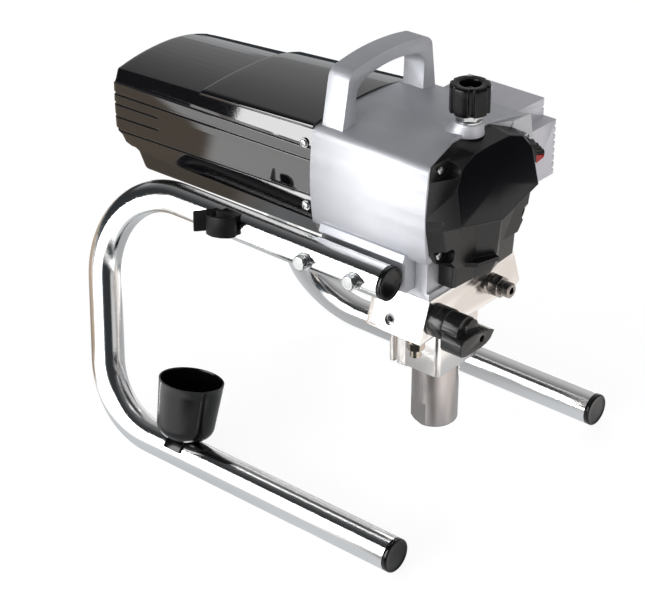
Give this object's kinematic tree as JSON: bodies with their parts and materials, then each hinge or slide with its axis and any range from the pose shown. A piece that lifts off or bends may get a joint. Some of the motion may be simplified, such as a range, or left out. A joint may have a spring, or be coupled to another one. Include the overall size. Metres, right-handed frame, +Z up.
{
  "type": "airless paint sprayer",
  "caption": "Electric piston paint sprayer on a two-tube skid frame, with a bottom intake, hose outlet, prime lever, pressure knob, hose clip and drip cup.",
  "frame": {"origin": "on the floor, at the centre of the bounding box of the footprint", "axes": "+Z up; -Y is the machine's front, where the panel, the outlet and the prime lever are; +X is its right side with the control box"},
  "size_m": [0.3515, 0.42, 0.4135],
  "materials": {
    "chromed_tube": "polished chrome",
    "gloss_black": "gloss black",
    "satin_black": "satin black",
    "panel_black": "deep gloss black",
    "cast_silver": "fine textured silver-grey coat on cast aluminium",
    "machined_aluminium": "polished",
    "zinc_steel": "bright zinc",
    "turned_steel": "turned, fine bands",
    "nickel_fitting": "warm nickel",
    "red_plastic": "red",
    "hard_steel": "ground",
    "ball_steel": "mirror",
    "core_iron": "laminated",
    "ferrite": "matt",
    "copper_wire": "varnished copper",
    "bronze": "oiled bronze",
    "packing_white": "matt",
    "carbon_black": "matt",
    "board_green": "coated board"
  },
  "bodies": {
    "machine": {"left_frame_tube": "chromed_tube", "right_frame_tube": "chromed_tube", "tube_caps": "gloss_black", "frame_bolts": "zinc_steel", "frame_washers": "zinc_steel", "gear_housing": "cast_silver", "motor_cover": "gloss_black", "cover_hood": "gloss_black", "control_box": "cast_silver", "control_board": "board_green", "front_cover": "satin_black", "front_panel": "panel_black", "switch_body": "satin_black", "knob_nut": "zinc_steel", "pressure_control": "zinc_steel", "motor_front_plate": "machined_aluminium", "motor_can": "hard_steel", "magnets": "ferrite", "brushes": "carbon_black", "gear_plates": "machined_aluminium", "bearings": "hard_steel", "plate_spacers": "zinc_steel", "inner_screws": "zinc_steel", "fluid_manifold": "machined_aluminium", "manifold_bolts": "zinc_steel", "pump_block": "machined_aluminium", "intake_housing": "turned_steel", "inlet_seat": "hard_steel", "inlet_cage": "hard_steel", "cylinder_sleeve": "hard_steel", "upper_packings": "packing_white", "packing_nut": "hard_steel", "pressure_sensor": "hard_steel", "manifold_plug": "zinc_steel", "outlet_fitting": "turned_steel", "return_nipple": "nickel_fitting", "prime_valve_body": "satin_black", "valve_spring": "zinc_steel", "hose_clip": "satin_black", "outer_screws": "zinc_steel"},
    "rotor": {"rotor": "core_iron", "windings": "copper_wire", "fan": "satin_black"},
    "side_gear": {"side_shaft": "hard_steel"},
    "crank": {"crankshaft": "hard_steel", "crank_wheel": "hard_steel"},
    "slider": {"slider_block": "bronze"},
    "piston": {"yoke": "hard_steel", "piston_rod": "hard_steel", "piston_seal": "packing_white", "piston_seat": "hard_steel"},
    "piston_ball": {"piston_ball": "ball_steel"},
    "inlet_ball": {"inlet_ball": "ball_steel"},
    "knob": {"pressure_knob": "satin_black", "control_shaft": "zinc_steel"},
    "prime_lever": {"prime_handle": "satin_black"},
    "valve_stem": {"valve_stem": "hard_steel"},
    "power_rocker": {"switch_rocker": "satin_black", "switch_mark": "red_plastic"},
    "cup": {"drip_cup": "gloss_black"}
  },
  "joints": [
    {"name": "rotor_spin", "type": "hinge", "parent": "machine", "child": "rotor", "pos_m": [0, 0.02, 0.296], "axis": [0, 1, 0], "continuous": true},
    {"name": "side_gear_spin", "type": "hinge", "parent": "machine", "child": "side_gear", "pos_m": [0.036, -0.07, 0.3065], "axis": [0, 1, 0], "continuous": true},
    {"name": "crank_spin", "type": "hinge", "parent": "machine", "child": "crank", "pos_m": [0, -0.09, 0.296], "axis": [0, 1, 0], "continuous": true},
    {"name": "slider_turn", "type": "hinge", "parent": "crank", "child": "slider", "pos_m": [0.006, -0.129, 0.296], "axis": [0, 1, 0], "continuous": true},
    {"name": "piston_stroke", "type": "slide", "parent": "machine", "child": "piston", "axis": [0, 0, 1], "range_m": [-0.006, 0.006]},
    {"name": "piston_ball_lift", "type": "slide", "parent": "piston", "child": "piston_ball", "axis": [0, 0, 1], "range_m": [0, 0.002]},
    {"name": "inlet_ball_lift", "type": "slide", "parent": "machine", "child": "inlet_ball", "axis": [0, 0, 1], "range_m": [0, 0.0018]},
    {"name": "knob_turn", "type": "hinge", "parent": "machine", "child": "knob", "pos_m": [0, -0.157, 0.38], "axis": [0, 0, -1], "range_deg": [0, 270]},
    {"name": "prime_turn", "type": "hinge", "parent": "machine", "child": "prime_lever", "pos_m": [-0.0525, -0.19, 0.194], "axis": [0, 1, 0], "range_deg": [0, 90]},
    {"name": "valve_lift", "type": "slide", "parent": "machine", "child": "valve_stem", "axis": [0, -1, 0], "range_m": [0, 0.0017]},
    {"name": "power_rock", "type": "hinge", "parent": "machine", "child": "power_rocker", "pos_m": [0.06485, -0.17971, 0.321], "axis": [-0.6407, -0.7678, 0], "range_deg": [0, 7]},
    {"name": "cup_turn", "type": "hinge", "parent": "machine", "child": "cup", "pos_m": [-0.157, 0.0494, 0.016], "axis": [0, 1, 0], "range_deg": [-25, 10]}
  ],
  "couplings": [
    {"joint": "side_gear_spin", "follows": "rotor_spin", "ratio": -0.25},
    {"joint": "crank_spin", "follows": "rotor_spin", "ratio": 0.10714},
    {"joint": "slider_turn", "follows": "rotor_spin", "ratio": -0.10714},
    {"joint": "valve_lift", "follows": "prime_turn", "m_per_rad": 0.001}
  ]
}
